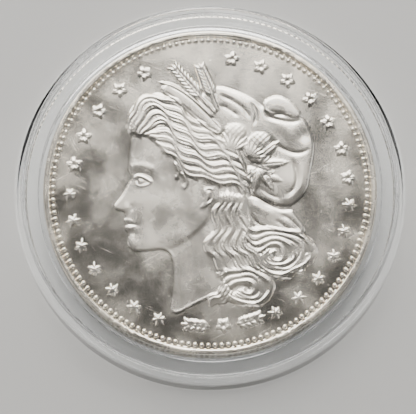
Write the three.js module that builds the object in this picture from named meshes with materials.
// A round snap-together coin capsule holding one large silver coin, lying on its rear face.
// Millimetres, +Z up. The origin is the middle of the rear face, which rests on the table.
import * as THREE from 'three';

// ---- driving dimensions -------------------------------------------------------------------
const SEGMENTS = 96;            // facets round every turned piece, the same so that fits stay true

const COIN_DIAMETER = 38.1;
const COIN_THICKNESS = 2.4;     // over the raised rims
const COIN_RIM_WIDTH = 0.75;
const COIN_FIELD_DEPTH = 0.3;   // from the rim's top down to the field, on each side
const COIN_EDGE_BREAK = 0.1;

const CAPSULE_DIAMETER = 44.8;
const CAPSULE_HEIGHT = 6.2;
const WINDOW_THICKNESS = 1.75;  // the flat clear disc of each shell
const REST_GAP = 0.05;          // between faces that rest or slide on each other

const RECESS_CLEARANCE = 0.15;  // all round the coin in the rear window's recess
const RECESS_DEPTH = 0.55;      // the step that keeps the coin in the middle
const RECESS_LEAD_IN = 0.2;

const WALL_THICKNESS = 1.3;     // the rear shell's outer wall
const WALL_TOP = 4.3;
const WALL_TOP_ROUND = 0.35;    // the wall's outer top edge
const WALL_LEAD_IN = 0.15;      // the chamfer that guides the plug in
const REAR_FACE_RADIUS = 21.7;  // the flat that the capsule rests on
const REAR_CORNER_HEIGHT = 0.6; // the rounded corner between the rear face and the wall

const PLUG_THICKNESS = 1.4;     // the front shell's ring, which presses into the rear wall
const PLUG_FOOT_GAP = 0.1;      // between the plug and the step round the recess
const PLUG_LEAD_IN = 0.2;
const FLANGE_RADIUS = 21.55;    // the front shell's lip, which seats on the top of the rear wall
const FLANGE_UNDERCUT = 0.3;    // the finger-nail groove under the lip
const FRONT_EDGE_ROUND = 0.3;

const ROUND_STEPS = 3;          // facets along each rounded edge

// ---- helpers ------------------------------------------------------------------------------

// Points of a quarter round from angle `from` to angle `to` about (radius, height).
function roundEdge(radius, height, size, from, to, rise = size) {
  const points = [];
  for (let step = 0; step <= ROUND_STEPS; step += 1) {
    const angle = from + ((to - from) * step) / ROUND_STEPS;
    points.push([radius + size * Math.cos(angle), height + rise * Math.sin(angle)]);
  }
  return points;
}

// A solid of revolution about +Z from a closed outline of [radius, height] points.
function turned(outline) {
  const profile = outline.map(([radius, height]) => new THREE.Vector2(radius, height));
  const geometry = new THREE.LatheGeometry(profile, SEGMENTS);
  geometry.rotateX(Math.PI / 2);
  return geometry;
}

function named(name, geometry, material) {
  const mesh = new THREE.Mesh(geometry, material);
  mesh.name = name;
  return mesh;
}

// ---- rear shell: a clear dish with the window, the coin's recess and the outer wall --------
function rearShell() {
  const outer = CAPSULE_DIAMETER / 2;
  const wallInner = outer - WALL_THICKNESS;
  const corner = outer - REAR_FACE_RADIUS;
  const recess = COIN_DIAMETER / 2 + RECESS_CLEARANCE;
  const step = WINDOW_THICKNESS + RECESS_DEPTH;
  return turned([
    [0, 0],
    ...roundEdge(REAR_FACE_RADIUS, REAR_CORNER_HEIGHT, corner, -Math.PI / 2, 0, REAR_CORNER_HEIGHT),
    ...roundEdge(outer - WALL_TOP_ROUND, WALL_TOP - WALL_TOP_ROUND, WALL_TOP_ROUND, 0, Math.PI / 2),
    [wallInner + WALL_LEAD_IN, WALL_TOP],
    [wallInner, WALL_TOP - WALL_LEAD_IN],
    [wallInner, step],
    [recess + RECESS_LEAD_IN, step],
    [recess, step - RECESS_LEAD_IN],
    [recess, WINDOW_THICKNESS],
    [0, WINDOW_THICKNESS],
  ]);
}

// ---- front shell: the clear lid, whose plug ring surrounds the coin inside the rear wall ---
function frontShell() {
  const plugOuter = CAPSULE_DIAMETER / 2 - WALL_THICKNESS - REST_GAP;
  const plugInner = plugOuter - PLUG_THICKNESS;
  const plugBottom = WINDOW_THICKNESS + RECESS_DEPTH + PLUG_FOOT_GAP;
  const underside = CAPSULE_HEIGHT - WINDOW_THICKNESS;
  const seat = WALL_TOP + REST_GAP;
  return turned([
    [0, underside],
    [plugInner, underside],
    [plugInner, plugBottom],
    [plugOuter - PLUG_LEAD_IN, plugBottom],
    [plugOuter, plugBottom + PLUG_LEAD_IN],
    [plugOuter, seat],
    [FLANGE_RADIUS - FLANGE_UNDERCUT, seat],
    [FLANGE_RADIUS, seat + FLANGE_UNDERCUT],
    ...roundEdge(
      FLANGE_RADIUS - FRONT_EDGE_ROUND, CAPSULE_HEIGHT - FRONT_EDGE_ROUND, FRONT_EDGE_ROUND, 0, Math.PI / 2,
    ),
    [0, CAPSULE_HEIGHT],
  ]);
}

// ---- coin: a struck silver disc with a raised rim on both faces ----------------------------
function coin() {
  const edge = COIN_DIAMETER / 2;
  const rimInner = edge - COIN_RIM_WIDTH;
  const bottom = WINDOW_THICKNESS + REST_GAP;
  const top = bottom + COIN_THICKNESS;
  const rimSlope = COIN_FIELD_DEPTH / 2;
  return turned([
    [0, bottom + COIN_FIELD_DEPTH],
    [rimInner - rimSlope, bottom + COIN_FIELD_DEPTH],
    [rimInner, bottom],
    [edge - COIN_EDGE_BREAK, bottom],
    [edge, bottom + COIN_EDGE_BREAK],
    [edge, top - COIN_EDGE_BREAK],
    [edge - COIN_EDGE_BREAK, top],
    [rimInner, top],
    [rimInner - rimSlope, top - COIN_FIELD_DEPTH],
    [0, top - COIN_FIELD_DEPTH],
  ]);
}

// ---- materials and assembly ---------------------------------------------------------------
const clearPlastic = () => new THREE.MeshStandardMaterial({
  color: 0xe9eef0, roughness: 0.05, metalness: 0, transparent: true, opacity: 0.25,
});
const silver = new THREE.MeshStandardMaterial({ color: 0xd9d7d2, roughness: 0.3, metalness: 1 });

const group = new THREE.Group();
group.add(named('rear_shell', rearShell(), clearPlastic()));
group.add(named('coin', coin(), silver));
group.add(named('front_shell', frontShell(), clearPlastic()));

export default group;
